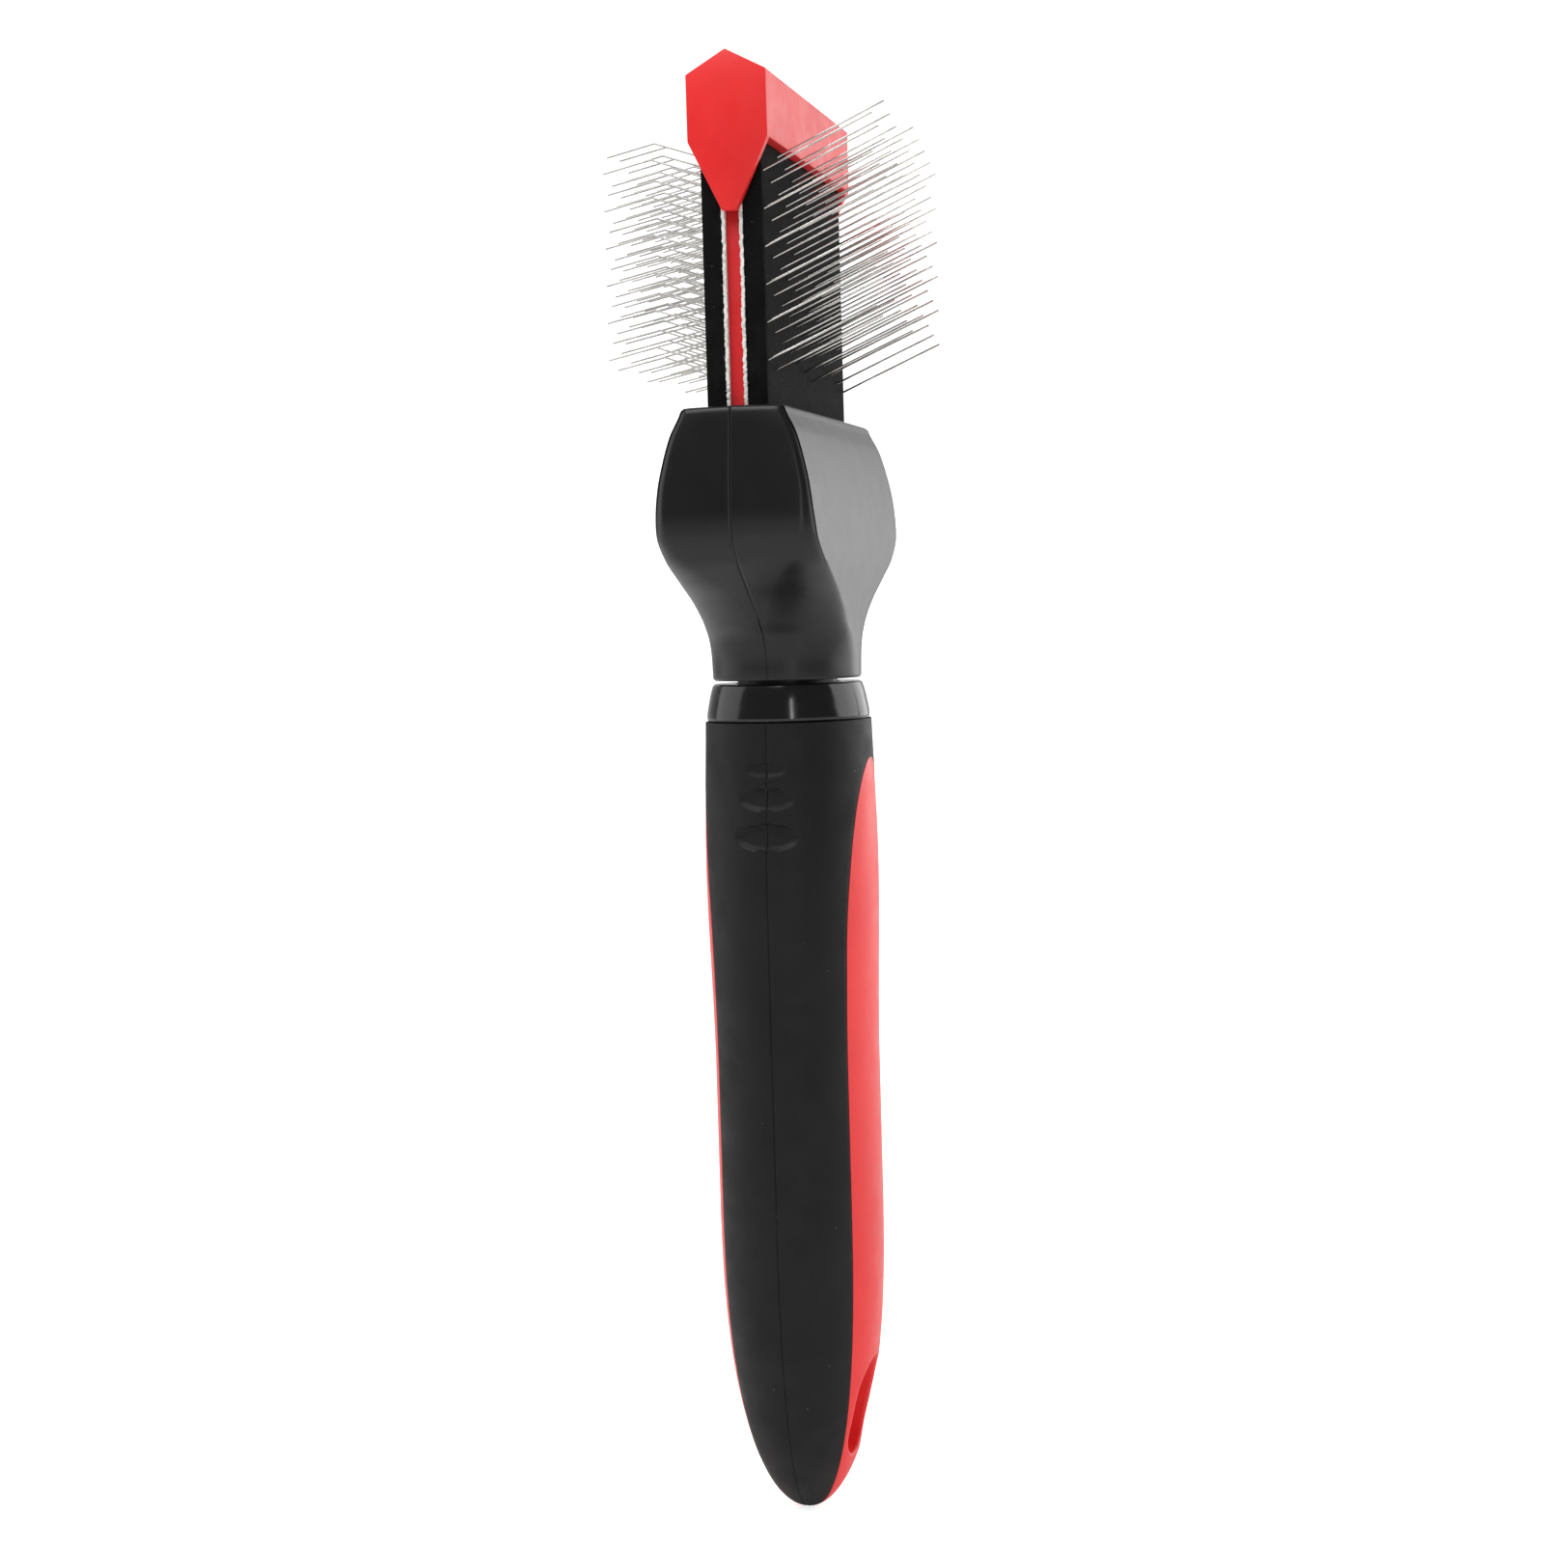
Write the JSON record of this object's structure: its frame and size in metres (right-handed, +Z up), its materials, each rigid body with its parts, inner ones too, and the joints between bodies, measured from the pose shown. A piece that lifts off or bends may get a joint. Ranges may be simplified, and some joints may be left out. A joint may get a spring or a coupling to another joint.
{
  "type": "dematting comb",
  "caption": "Two-sided dematting comb with fine wire pins on a flexible red head, a swivelling black yoke and a straight soft-grip handle.",
  "frame": {"origin": "lower tip of the handle, on the swivel axis", "axes": "+Z runs up the handle towards the head, +X is the side of the firm straight pins, Y runs along the head"},
  "size_m": [0.0377, 0.0524, 0.206],
  "materials": {
    "red_core": "satin red moulding",
    "soft_rubber": "matte soft-touch rubber",
    "gloss_black": "glossy black moulding",
    "white_acetal": "plain low-friction plastic",
    "dark_acetal": "plain dark moulding",
    "spring_steel": "stamped spring steel",
    "ring_rubber": "smooth ring",
    "satin_black": "fine satin moulding",
    "red_blade": "flexible red moulding",
    "red_cap": "smooth red moulding",
    "white_fabric": "woven backing with a cut edge",
    "black_foam": "fine closed-cell foam",
    "firm_wire": "bright drawn wire",
    "soft_wire": "bright fine wire"
  },
  "bodies": {
    "handle": {"core_half_left": "red_core", "core_half_right": "red_core", "grip_half_left": "soft_rubber", "grip_half_right": "soft_rubber", "collar": "gloss_black", "thrust_washer": "white_acetal"},
    "yoke": {"spindle": "dark_acetal", "spindle_clip": "spring_steel", "friction_ring": "ring_rubber", "yoke_shell_left": "satin_black", "yoke_shell_right": "satin_black"},
    "head": {"flex_blade": "red_blade", "head_cap": "red_cap", "pad_fabric_left": "white_fabric", "pad_fabric_right": "white_fabric", "pad_foam_left": "black_foam", "pad_foam_right": "black_foam", "firm_pins_1": "firm_wire", "firm_pins_2": "firm_wire", "firm_pins_3": "firm_wire", "firm_pins_4": "firm_wire", "firm_pins_5": "firm_wire", "firm_pins_6": "firm_wire", "firm_pins_7": "firm_wire", "firm_pins_8": "firm_wire", "firm_pins_9": "firm_wire", "firm_pins_10": "firm_wire", "firm_pins_11": "firm_wire", "firm_pins_12": "firm_wire", "soft_pins_1": "soft_wire", "soft_pins_2": "soft_wire", "soft_pins_3": "soft_wire", "soft_pins_4": "soft_wire", "soft_pins_5": "soft_wire", "soft_pins_6": "soft_wire", "soft_pins_7": "soft_wire", "soft_pins_8": "soft_wire", "soft_pins_9": "soft_wire", "soft_pins_10": "soft_wire", "soft_pins_11": "soft_wire", "soft_pins_12": "soft_wire"}
  },
  "joints": [
    {"name": "head_swivel", "type": "hinge", "parent": "handle", "child": "yoke", "pos_m": [0, 0, 0.1217], "axis": [0, 0, 1], "continuous": true},
    {"name": "head_flex", "type": "hinge", "parent": "yoke", "child": "head", "pos_m": [0, 0, 0.15], "axis": [0, 1, 0], "range_deg": [-8, 8], "stiffness_Nm_per_rad": 1.5}
  ]
}
